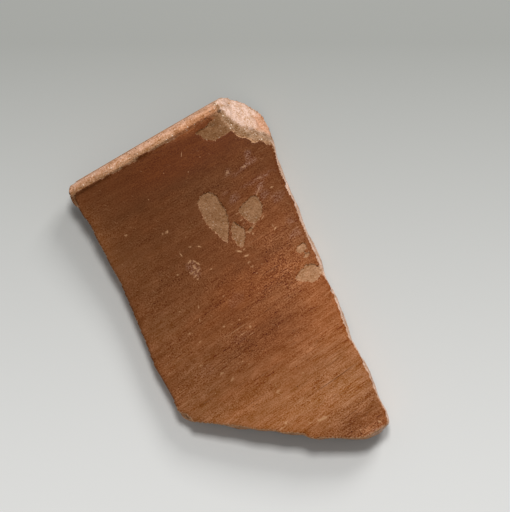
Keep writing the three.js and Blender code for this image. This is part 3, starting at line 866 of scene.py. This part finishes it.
def clayMasks(body, place, corner, leftEnd, outward, isOuter, isInner, broken):
    x, y, drop, depth = body.points[:, 0], body.points[:, 1], -place[:, 1], -place[:, 2]
    hollowness = np.einsum("ij,ij->i", body.averaged(body.points) - body.points, body.normals())
    for _ in range(2):
        hollowness = body.averaged(hollowness)
    uneven = layered(place, 3.5, 61)
    fine = noise(place, 0.8, 62)
    unevenDrop = drop + 0.3 * fine

    # The pale facet of the broken corner, and the crumbly band beside it, darker partly from wear and
    # partly as painted shade
    fresh = insideOutline(x, y, clayBody["freshFace"]) + 0.45 * noise(place, 1.1, 51) + 0.35 * fine
    fresh = ramp(fresh, -0.5, 0.5) * (depth < 5.8)
    atCorner = ramp(corner + 0.3 * fine, -0.6, 0.3) * ramp(corner, -3, 0) * (depth < 4) * (1 - fresh)
    orange = ramp(insideOutline(x, y, clayBody["orangeFace"]) + 0.8 * noise(place, 1.4, 52), -0.8, 1.2)

    # The lip: salmon on top, partly a painted highlight; orange to the right; weathered and painted shade
    # to the left and under the bead
    onLip = ramp(outward, -0.2, 0.2) * fade(drop, 2.9, 3.6) * fade(depth, 3.5, 5)
    # salmon on the top of the bead, partly its own colour and partly a painted highlight where the top
    # faces the light
    salmon = fade(unevenDrop, 0.9, 2.6) * onLip * (1 - fresh)
    orange = np.maximum(orange, ramp(x, 3, 9) * ramp(unevenDrop, 0.9, 2.2) * onLip * (1 - fresh))
    # painted shade on the underside of the bead, with uneven wear, more to the left, and the crown's top
    # darker to the right
    underLip = 0.4 * ramp(drop, 2.2, 3.2) * (1 - 0.7 * ramp(x, 3, 8)) + 0.25 * ramp(uneven, 0, 0.6)
    underLip = underLip + 0.25 * ramp(-x, 8, 18) + 0.24 * ramp(x, 0, 10) * ramp(drop, 0.7, 1.2)
    # painted shade on the bare clay of the outer face, strongest under the lip and fading down the wall
    shaded = np.interp(drop, *zip(*clayBody["shadeDown"])) * isOuter * ramp(drop, 3.0, 3.8)
    weatheredAndShaded = np.maximum(shaded, underLip * onLip) * (1 - atCorner) + 0.15 * uneven
    # under the bead a rusty brown, partly its own colour and partly painted shade
    rustyShade = ramp(x, 1, 7) * fade(x, 14, 16.5) * ramp(unevenDrop, 2.1, 2.9) * fade(drop, 3.9, 4.5)

    # The worn left end, with painted shade on its rounded tip, and darker clay in the hollows and dents
    # painted shade on the rounded-off outer edge of the lip's left tip
    nose = leftEnd * ramp(-x + 0.3 * fine, 24.3, 25.0)
    underBead = fade(drop, 4, 6) * (1 - broken)
    darkened = 0.7 * ramp(hollowness, 0.006, 0.03) * (1 - 0.8 * underBead)
    darkened = darkened + 0.15 * ramp(uneven, 0, 0.6) * broken + 0.45 * nose
    for cx, cy, half, _, deep in clayBody["dents"]:
        darkened = darkened + 1.2 * deep * ramp(1 - np.hypot(x - cx, y - cy) / half, 0.2, 0.7)
    gritty = 0.3 + (0.7 - 0.5 * fresh) * broken + 1.4 * atCorner + 0.8 * onLip - 0.2 * isInner
    return {
        "place": place,
        "fresh": np.clip(np.maximum(fresh, (0.75 + 0.25 * (depth < 2)) * broken * ramp(x, 8, 14)), 0, 1),
        "salmon": np.clip(salmon, 0, 1),
        "orange": 0.6 * orange,
        "weatheredAndShaded": np.clip(np.maximum(weatheredAndShaded, 0.95 * nose) * (1 - 0.9 * fresh), 0, 1),
        "edgeWearAndShade": 0.85 * np.clip(atCorner + 0.2 * uneven * atCorner, 0, 1),
        "rustyShade": np.clip(np.maximum(0.85 * rustyShade * (1 - broken), 0.7 * nose), 0, 1),
        "darkened": np.clip(darkened * (1 - 0.6 * fresh), 0, 1),
        "gritty": np.clip(gritty, 0, 1.7),
        "wiped": 0.8 * isInner + 0.7 * onLip,
    }


def makeClayBody():
    points, faces = remeshed("clay_wall", clayBody["voxel"])
    body = Surface(points, faces)
    print("clay remeshed:", len(points), "points")
    outward, isOuter, isInner, onCrown, broken = findFaces(body)

    # The broken faces lose their straight facets before they get their own grain
    body.smooth(broken * ramp(broken, 0.6, 1.0), 12)
    body.smooth(onCrown, 10)
    x, y = body.points[:, 0], body.points[:, 1]
    drop = -y
    radius, azimuth = polar(body.points)
    depth = slippedRadius(drop) - radius
    place = np.stack([azimuth * pot["mouthRadius"], y, -depth], 1)

    # True round faces, with the worn slope beside the broken corner
    corner = insideOutline(x, y, clayBody["corner"])
    radius = mixed(radius, slippedRadius(drop) - pot["skin"], isOuter)
    radius = mixed(radius, innerRadius(drop), isInner)
    risen = fade(depth, pot["skin"] + 0.05, pot["skin"] + 1.3) * fade(corner, 0.2, 2.2)
    radius = radius + clayRise(drop) * risen * mixed(1, 1 - broken, ramp(drop, 3, 5))
    dents = relief(place, clayBody["wallDents"])
    fineDents = relief(place, clayBody["fineDents"]) + humps(x, y, clayBody["dents"])
    radius = radius - isOuter * (np.abs(dents) + 0.03 + fineDents)
    radius = radius + isInner * (relief(place, clayBody["innerWipes"]) + dents + fineDents + 0.05)
    body.points = fromPolar(radius, azimuth, y)

    # The left end of the lip is worn round, the slope is smoothed and the crown is raised
    leftEnd = ramp(-body.points[:, 0], 23.6, 26.0) * ramp(y, -8.5, -5.5)
    body.points[:, 2] -= clayBody["endWear"] * leftEnd ** 2 * fade(depth, 1.5, 5.5)
    body.smooth(ramp(corner, 0.6, 1.6) * fade(corner, 3.2, 4.5) * fade(depth, 2.5, 4), 24)
    above = np.maximum(body.points[:, 1] + pot["crownHeight"], 0)
    body.points[:, 1] += above * crownHigher(radius)

    roughen(body, place, corner, onCrown, broken)
    masks = clayMasks(body, place, corner, leftEnd, outward, isOuter, isInner, broken)
    newPiece("fired_clay_body", "clay_wall", body.points, faces, clayMaterial, masks)


# The slip on the outer face

outerSlip = {
    "pitch": 0.32,
    "sheet": (-30.0, 28.0, -95.0, 0.0),  # left, right, foot, top of the grid
    "look": {"slip": 1.12, "clay": 1.95},  # how far rays look for the solids
    "reach": {"left": 0.28, "right": 0.6, "foot": 0.7},  # the slip runs on to the broken edge
    "closedReach": 1.15,  # and this far over the closed chips
    "footLine": (0.667, 79, 82),  # slope of the foot's break, and where it starts and is whole
    "overhang": 0.05,
    "rightBack": 0.16,  # it ends this much sooner on the right
    "drape": 0.14,  # it is worn down this much at the broken edge
    "sunk": 0.06,  # it is laid this far under the round of the clay
    "under": 0.04,  # and its underside is this much deeper
    "lean": 4.5,  # degrees by which the brush marks of the lower half rise to the right
    "ragged": [(1.6, 0.16, 70, 1), (0.7, 0.12, 71, 1)],
    "cornerRagged": 1.9,  # how much more ragged its edge is at the broken corner
    "lines": [((9, 2.2, 9), 0.02, 81), ((8, 0.7, 8), 0.012, 83, 2)],  # raised by the brush
    # tone down the outer face: darker under the lip and lighter to the foot, partly painted shade and
    # light
    "toneDown": [
        (3, 0.01), (12, 0.05), (20, 0.1), (36, 0.22), (52, 0.38), (60, 0.44), (68, 0.66), (77, 0.9),
        (82, 0.8),
    ],
    "toneBands": [((30, 3.5, 30), 0.05, 91), ((14, 1.4, 14), 0.04, 93), ((8, 4.5, 8), 0.05, 95)],
    "warmth": ((16, 6, 16), 0.35, 97),
    "clumps": ((7, 2.6, 7), 1, 103),
    "combed": ((11, 1.8, 11), 0.7, 105),
    "grainDown": [(26, 36, 0.3), (54, 64, -0.22), (80, 84, 0.5), (88, 90, 0.5)],  # from, to, how much more
    "grainSpots": [(9, -46, 9, 12, 0.85), (15, -22, 7, 9, 0.4)],
    "pitsDown": [(88, 90.5, 0.35), (82, 84, 0.12)],
    "pitSpots": [(9, -45, 9, 12, 0.32), (-2, -57, 10, 6, 0.18), (19.4, -44, 1.2, 4, 0.35)],
    "brushDown": [(30, 45, 0.35), (50, 64, 0.18)],
    "brushAcross": [(0, 10, 0.2)],
    "bareEnd": [(-30, 2), (-24.2, 2), (-24.3, -2.6), (-24.6, -5.0), (-24.9, -6.3), (-30, -6.4)],
    "inland": [
        (-23, 0), (26, 0), (26, -17), (22.5, -18), (20, -30), (18, -44), (16.5, -56), (14.5, -70),
        (12.5, -86), (8, -89), (-7, -78), (-25, -64), (-26.5, -50), (-23, -28),
    ],
    "filled": [  # across, up, size, how much further the slip goes there
        (3, -24, 8.5, 0.18),
        (6.4, -31, 3, -0.12),
    ],
    "windowArea": (8.4, 16.6, -33.6, -24.2),  # left, right, foot, top of the window drawn again
    "rightWindow": [
        (9.1, -27.2), (9.7, -26.3), (12, -25.9), (13.2, -25.3), (14.7, -25.6), (15, -26.8), (14.8, -28.4),
        (14.1, -29.8), (13.2, -30.8), (11.3, -31.3), (10.3, -30.7), (9.8, -29.3),
    ],
    "smallFlakes": [  # across, up, half width, half height, lean
        (9.3, -32.4, 0.7, 0.3, 20),
        (18.3, -44.8, 0.9, 0.4, 10),
    ],
    "scuffs": [(17.6, -43.9, 1.6, 1.0, 0), (15.3, -27.2, 0.7, 1.5, -10)],
    "chalk": [  # across, up, half width, half height, lean, strength
        (11.5, -91.2, 4.5, 1.1, 0, 0.5), (18.4, -38.6, 1.6, 1.1, 0, 0.32),
        (18.8, -35.2, 1.3, 1.0, 0, 0.28), (18.0, -15.9, 1.3, 0.8, 60, 0.45),
        (16.6, -18.0, 1.9, 0.45, 5, 0.7), (18.5, -17.6, 0.8, 0.8, 0, 0.35),
        (11.7, -17.2, 1.0, 0.6, 30, 0.5), (12.8, -18.6, 1.2, 0.3, 0, 0.25),
        (18.3, -22.4, 2.6, 0.6, 0, 0.5), (15.4, -22.3, 0.9, 0.5, 0, 0.3),
        (13.4, -22.3, 0.8, 0.4, 0, 0.25), (9.7, -23.5, 1.7, 1.0, 20, 0.35),
        (16.3, -24.6, 1.9, 0.7, 30, 0.5), (16.6, -26.6, 1.4, 0.9, 20, 0.35),
        (19.5, -28.5, 2.0, 1.4, 0, 0.25), (-7.6, -33.6, 1.5, 2.2, 0, 0.3),
        (8.3, -21.5, 1.0, 0.6, 0, 0.2), (-2.5, -45.5, 2.5, 1.6, 20, 0.12),
        (-6.0, -54.0, 2.6, 1.2, 0, 0.1), (-17.5, -57.0, 2.5, 1.5, 0, 0.08),
    ],
}

slipTones = [  # across, up, half width, half height, tone, warmth
    (8, -44.5, 8, 3, 0.1, 0.45), (15, -60, 8, 9, 0.22, 0.3), (17, -48, 6, 9, 0.15, 0.35),
    (14, -34, 9, 6, 0.13, 0.3), (16, -22, 6, 8, 0.04, 0.25), (4, -57, 9, 3.5, -0.07, 0.0),
    (8, -87, 12, 4, -0.36, 0.0), (-10, -72, 12, 3, 0.05, 0.0), (-8, -12, 22, 10, 0.0, -0.15),
    (-22, -14, 8, 12, 0.06, -0.3), (-26, -14, 3, 14, 0.12, 0.0), (-22, -50, 5, 22, 0.04, -0.25),
    (6, -8.5, 11, 4.5, -0.12, 0.4), (0, -52, 9, 14, 0.0, 0.3), (4, -75, 16, 10, 0.02, -0.35),
    (16, -80, 2.5, 5, -0.2, 0.0), (9.5, -40, 2.4, 1.1, -0.09, 0.2), (9, -43.6, 2.2, 1.2, -0.08, 0.1),
    (9.5, -47, 3.2, 0.8, -0.14, 0.1), (2, -54.3, 3.5, 1.6, -0.08, 0.0), (11, -37.2, 2, 1.2, 0.05, 0.0),
    (12.5, -44.8, 2, 1.2, 0.09, -0.2), (7.5, -50, 4, 1.2, 0.1, 0.0), (13, -54.5, 2.5, 1.6, 0.1, -0.1),
    (15.5, -46, 1.5, 1.2, 0.08, 0.0), (0.5, -50.8, 1.5, 1.2, 0.05, 0.0), (12, -14, 8, 4, -0.03, 0.15),
    (8, -3.8, 7, 1.7, 0.2, 0.5), (3, -8, 13, 4, -0.02, 0.5), (2, -42, 10, 6, 0.0, 0.35),
    (2, -63, 9, 5, 0.0, 0.35), (-26, -16, 4.5, 8, 0.2, 0.0), (0, -9, 14, 4, -0.03, 0.25),
    (-2, -45, 7, 4, 0.0, 0.3),
]


def onFoot(x, y):
    slope, start, whole = outerSlip["footLine"]
    return ramp(-y - slope * x, start, whole)


def outerFields(across, along):
    # Distances to the border of the slip and of the clay under it, positive inside
    x, y = across.ravel(), along.ravel()
    pitch, look = outerSlip["pitch"], outerSlip["look"]
    radius = slippedRadius(-y) - pot["slip"]
    normals = np.stack([x, 0 * y, np.sqrt(radius ** 2 - x ** 2)], 1) / radius[:, None]
    points = np.stack([x, y, normals[:, 2] * radius], 1)
    field = coverField("outer_slip_coat", points, normals, across.shape, pitch, look["slip"])
    ground = coverField("clay_wall", points, normals, across.shape, pitch, look["clay"])
    place = np.stack([x, y, 0 * x], 1)

    # Out to the broken edge, over the closed chips and round the window to the right
    closed = outerSlip["closedReach"] * humps(x, y, clayBody["closed"])
    ground, field = ground + closed, field + closed
    reach, atFoot, atRight = outerSlip["reach"], onFoot(x, y), ramp(x, 12, 14)
    further = reach["left"] * fade(x, -21, -15) * ramp(-y, 5.5, 7)
    further = further + reach["right"] * atRight * ramp(-y, 16, 20)
    field = field + mixed(further, reach["foot"], atFoot) * fade(ground, 0.9, 1.6)
    for cx, cy, size, more in outerSlip["filled"]:
        field = field + more * np.exp(-(((x - cx) / size) ** 2 + ((y - cy) / size) ** 2) ** 2)
    left, right, low, high = outerSlip["windowArea"]
    around = (x > left) & (x < right) & (y > low) & (y < high)
    serrated = 0.22 * noise(place, 0.7, 79)
    field = np.where(around, serrated - insideOutline(x, y, outerSlip["rightWindow"]), field)
    back = outerSlip["rightBack"] * atRight * (1 - atFoot)
    field = np.minimum(field, ground + outerSlip["overhang"] - back)
    field = np.minimum(field, -insideOutline(x, y, outerSlip["bareEnd"]))

    # Ragged round the windows and under the lip, cleaner along the break
    inland = ramp(insideOutline(x, y, outerSlip["inland"]), -0.5, 0.8)
    strength = 0.3 + 0.7 * inland + 0.25 * atRight * (1 - inland)
    strength = strength + outerSlip["cornerRagged"] * ramp(x, 17, 18.5) * ramp(y, -17, -16)
    field = field + strength * relief(place, *outerSlip["ragged"])
    for spot in outerSlip["smallFlakes"]:
        field = np.minimum(field, 0.2 * noise(place, 0.8, 75) - insideSpot(x, y, spot))
    for spot in outerSlip["scuffs"]:
        lace = insideSpot(x, y, spot)
        holes = noise(place, (1.0, 0.75, 1.0), 77) - 0.3 + 0.3 * np.clip(lace, 0, 0.6)
        field = np.where(lace > 0, np.minimum(field, -0.5 * holes), field)
    return field, ground


def outerMasks(x, place, edge, margin):
    # The slip is darker under the lip and lighter towards the foot, partly its own tone and partly painted
    # shade under the lip and painted light towards the foot, with broad wiped bands
    y, drop = place[:, 1], -place[:, 1]
    bands = (1 + 0.5 * ramp(drop, 30, 50)) * relief(place, *outerSlip["toneBands"])
    tone = np.interp(drop, *zip(*outerSlip["toneDown"])) + bands
    warm = 0.35 + relief(place, outerSlip["warmth"])
    for *oval, toneMore, warmMore in slipTones:
        near = hump(x, y, *oval)
        tone = tone + toneMore * near
        warm = warm + warmMore * near

    # Worn edges: widest under the lip, and a painted shadow line behind the edge at the broken corner
    atLip = fade(drop, 3.8, 6.0)
    atBreak = ramp(x, 17.5, 18.5) * ramp(y, -16.5, -15) * ramp(drop, 8, 9)
    atFoot = margin * onFoot(x, y)
    atRight = margin * ramp(x, 14, 17) * ramp(drop, 15.5, 17) * (1 - 0.6 * ramp(drop, 48, 60))
    worn = (0.75 - 0.4 * atLip) * nearEdge(edge, 0.22 + 0.4 * atLip) + 0.35 * ramp(drop, 90.2, 91.2)
    worn = worn + 0.8 * atBreak * nearEdge(edge, 0.25) + 0.7 * atFoot * nearEdge(edge, 0.35)
    # a thin painted shadow on the slip beside the raised clay of the broken corner
    tone = tone - 0.3 * atBreak * np.exp(-((edge - 0.6) / 0.35) ** 2) - 0.08 * atRight
    warm = warm + 0.4 * atRight

    chalk = np.zeros(len(x))
    patchy = 0.4 * noise(place, (1.4, 0.6, 1.4), 101)
    for *spot, strength in outerSlip["chalk"]:
        haze = ramp(insideSpot(x, y, spot) + patchy, -0.3, 0.5)
        chalk = np.maximum(chalk, 1.2 * haze * strength)
    clumps = relief(place, outerSlip["clumps"])
    pitted = 0.03 + 0.08 * ramp(layered(place, 9, 99), 0, 0.5) + 0.25 * atRight
    pitted = pitted + steps(drop, outerSlip["pitsDown"]) + humps(x, y, outerSlip["pitSpots"])
    grainy = 0.85 + steps(drop, outerSlip["grainDown"]) + humps(x, y, outerSlip["grainSpots"])
    brushed = 0.48 + steps(drop, outerSlip["brushDown"]) + steps(x, outerSlip["brushAcross"])
    swept = place.copy()
    swept[:, 1] -= np.tan(np.radians(outerSlip["lean"])) * ramp(drop, 5, 50) * place[:, 0]
    return {
        "place": place,
        "swept": swept,
        "tone": np.clip(tone, 0, 1),
        "warm": np.clip(warm, 0, 1),
        "worn": worn,
        "chalk": chalk,
        "pitted": pitted * (0.35 + 1.3 * ramp(clumps, -0.1, 0.4)),
        "grainy": grainy * (1 + 0.7 * clumps),
        "brushed": brushed * (1 + relief(place, outerSlip["combed"])),
    }


def makeOuterSlip():
    left, right, foot, top = outerSlip["sheet"]
    pitch = outerSlip["pitch"]
    across, along = np.meshgrid(np.arange(left, right, pitch), np.arange(foot, top, pitch))
    field, ground = outerFields(across, along)
    x, y, used, faces = clippedGrid(across, along, field, pitch)
    edge = field[used]
    margin = fade(ground[used], 0.5, 1.2)

    drop = -y
    azimuth = np.arcsin(x / clayRadius(drop))
    place = np.stack([azimuth * pot["mouthRadius"], y, 0 * y], 1)
    dents = relief(place - (0, 0, pot["skin"]), clayBody["wallDents"])
    under = clayRadius(drop) - np.abs(dents) - outerSlip["sunk"]
    under = under - outerSlip["drape"] * margin * fade(edge, 0, 0.7) * ramp(drop, 8, 14)
    lift = pot["slip"] + 0.03 + relief(place, *outerSlip["lines"]) - 0.07 * nearEdge(edge, 0.3)
    pits = 0.08 * ramp(noise(place, 1.1, 85), 0.78, 0.95)
    newSkin(
        "outer_slip_skin", "outer_slip_coat", fromPolar(under + lift - pits, azimuth, y),
        fromPolar(under - outerSlip["under"], azimuth, y), faces, outerMasks(x, place, edge, margin))


# The slip over the lip and down the inner face

rimSlip = {
    "pitch": 0.28,
    "halfWidth": 29.0,
    "look": 2.2,  # how far rays look for the solid
    "ragged": [(2.2, 0.3, 110, 1), (0.8, 0.18, 111, 1)],
    "cornerBack": 0.65,  # it ends this much sooner at the worn corner
    "start": 3.9,  # way over the lip from its front where the slip starts, and where it is whole
    "whole": 6.0,
    "down": 17,  # the inner face is followed this far down
    "under": 0.08,  # its underside lies this far in the clay
    "lines": ((9, 1.2, 9), 0.02, 121),
    "toneBands": ((20, 1.2, 20), 0.12, 123),
    "warmth": (8, 0.3, 125),
    "even": {"chalk": 0.0, "pitted": 0.15, "grainy": 1.0, "brushed": 0.8},
}


def lipSection():
    # Section of the clay from the front of the crown over the top and down the inner face
    angles = np.linspace(0, math.pi, 200)
    radius = pot["mouthRadius"] - pot["crownMiddle"] + pot["crownSpan"] * np.cos(angles)
    above = pot["crownClay"] * np.sin(angles)
    y = -pot["crownHeight"] + above * (1 + crownHigher(radius))
    below = np.arange(0.2, rimSlip["down"], 0.2)
    radius = np.concatenate([radius, innerRadius(pot["crownHeight"] + below)])
    y = np.concatenate([y, -pot["crownHeight"] - below])
    length = np.concatenate([[0], np.cumsum(np.hypot(np.diff(radius), np.diff(y)))])
    slope = np.stack([np.gradient(radius, length), np.gradient(y, length)], 1)
    slope = slope / np.linalg.norm(slope, axis=1)[:, None]
    return length, radius, y, slope


def makeRimSlip():
    length, radii, ys, slopes = lipSection()
    pitch = rimSlip["pitch"]
    half = rimSlip["halfWidth"]
    across, along = np.meshgrid(np.arange(-half, half, pitch), np.arange(0.5, length[-1] - 0.5, pitch))

    def section(way):
        # Radius and height on the clay, and the direction out of it, left of the way over the lip
        values = (radii, ys, slopes[:, 1], -slopes[:, 0])
        return [np.interp(way, length, each) for each in values]

    x, way = across.ravel(), along.ravel()
    azimuth = x / pot["mouthRadius"]
    radius, y, outRadius, outY = section(way)
    normals = np.stack([outRadius * np.sin(azimuth), outY, outRadius * np.cos(azimuth)], 1)
    points = fromPolar(radius, azimuth, y)
    field = coverField("rim_slip_coat", points, normals, across.shape, pitch, rimSlip["look"])
    field = np.minimum(field, way - rimSlip["start"]) - rimSlip["cornerBack"] * ramp(x, 17, 19.5)
    field = field + relief(np.stack([x, way, 0 * x], 1), *rimSlip["ragged"])
    x, way, used, faces = clippedGrid(across, along, field, pitch)
    edge = field[used]

    azimuth = x / pot["mouthRadius"]
    radius, y, outRadius, outY = section(way)
    place = np.stack([x, -way, 0 * y], 1)
    whole = ramp(way, rimSlip["start"], rimSlip["whole"])
    lift = pot["slip"] - 0.02 - 0.08 * nearEdge(edge, 0.3) + relief(place, rimSlip["lines"])
    lift = lift * mixed(0.2, 1, whole)
    masks = {
        "place": place,
        "swept": place,
        "tone": np.clip(0.5 + relief(place, rimSlip["toneBands"]), 0, 1),
        "warm": 0.5 + relief(place, rimSlip["warmth"]),
        "worn": np.maximum(0.8 * nearEdge(edge, 0.3), 0.9 * (1 - whole)),
    }
    masks.update({mask: np.full(len(y), value) for mask, value in rimSlip["even"].items()})
    under = rimSlip["under"]
    newSkin(
        "rim_slip_skin", "rim_slip_coat", fromPolar(radius + outRadius * lift, azimuth, y + outY * lift),
        fromPolar(radius - outRadius * under, azimuth, y - outY * under), faces, masks)


print("clay body")
makeClayBody()
print("outer slip")
makeOuterSlip()
print("rim slip")
makeRimSlip()


# Camera, floor and light

print("camera, floor and light")

view = {
    "middle": (7.1, -38.5, 109.3),  # place of the pot in the middle of the picture
    "roll": 30.17,
    "away": 1000.0,
    "seenAcross": 125.93,  # width of the picture at the sherd
    "sensor": 36.0,
    "sees": (0.05, 20),  # nearest and furthest, in metres
}


def makeCamera():
    roll = math.radians(view["roll"])
    right = Vector((math.cos(roll), -math.sin(roll), 0))
    up = Vector((math.sin(roll), math.cos(roll), 0))
    back = Vector((0, 0, 1))
    camera = newObject("camera", bpy.data.cameras.new("camera"))
    camera.data.sensor_fit = "HORIZONTAL"
    camera.data.sensor_width = view["sensor"]
    camera.data.lens = view["sensor"] * view["away"] / view["seenAcross"]
    camera.data.clip_start, camera.data.clip_end = view["sees"]
    place = Matrix((right, up, back)).transposed().to_4x4()
    place.translation = Vector(view["middle"]) + back * view["away"]
    world = layDown @ place
    world.translation = world.translation * mm
    camera.matrix_world = world
    bpy.context.scene.camera = camera
    return world


cameraPlace = makeCamera()
pictureRight = (cameraPlace.to_3x3() @ Vector((1, 0, 0))).normalized()
pictureUp = (cameraPlace.to_3x3() @ Vector((0, 1, 0))).normalized()

# The floor's colour grades from light near the picture's foot to darker towards its top: a painted falloff
# of light
floor = {
    "size": 3.0,
    "near": colour(221, 221, 219),
    "far": colour(158, 159, 155),
    "halfFade": 0.064,
    "fadeBend": 1.3,
    "roughness": 0.9,
    "gloss": 0.1,
}


def makeFloor():
    mesh = bpy.data.meshes.new("floor")
    half = floor["size"] / 2
    corners = [(-half, -half, 0), (half, -half, 0), (half, half, 0), (-half, half, 0)]
    mesh.from_pydata(corners, [], [(0, 1, 2, 3)])
    material, w, sockets = newFinish("pale paper", floor)
    place = w.add("ShaderNodeTexCoord").outputs["Object"]
    along = w.add("ShaderNodeVectorMath", operation="DOT_PRODUCT")
    w.feed(along.inputs[0], place)
    along.inputs[1].default_value = pictureUp
    span = floor["halfFade"]
    share = w.spread(along.outputs["Value"], -span, span, kind="LINEAR")
    share = w.maths("POWER", share, floor["fadeBend"])
    w.feed(sockets["Base Color"], w.blend(share, floor["near"], floor["far"]))
    mesh.materials.append(material)
    newObject("floor", mesh)


makeFloor()

lamps = {
    "overhead": {"towards": (0.1, 1.0), "rise": 66, "away": 1.2, "size": 0.25, "power": 8.4},
    "key": {"towards": (0.45, 0.9), "rise": 34, "away": 1.2, "size": 0.4, "power": 7.2},
}


def makeLamp(name, lamp):
    right, up = lamp["towards"]
    flat = pictureRight * right + pictureUp * up
    flat = Vector((flat.x, flat.y, 0)).normalized()
    rise = math.radians(lamp["rise"])
    direction = flat * math.cos(rise) + Vector((0, 0, 1)) * math.sin(rise)
    data = bpy.data.lights.new(name, "AREA")
    data.shape = "SQUARE"
    data.size = lamp["size"]
    data.energy = lamp["power"]
    light = newObject(name, data)
    light.location = direction * lamp["away"]
    light.rotation_mode = "QUATERNION"
    light.rotation_quaternion = direction.to_track_quat("Z", "Y")


for name, lamp in lamps.items():
    makeLamp(name, lamp)

skyStrength = 0.27
world = bpy.data.worlds.new("studio")
bpy.context.scene.world = world
world.use_nodes = True
background = world.node_tree.nodes["Background"]
background.inputs["Color"].default_value = (1.0, 1.0, 1.0, 1)
background.inputs["Strength"].default_value = skyStrength

bpy.context.scene.view_settings.view_transform = "Standard"
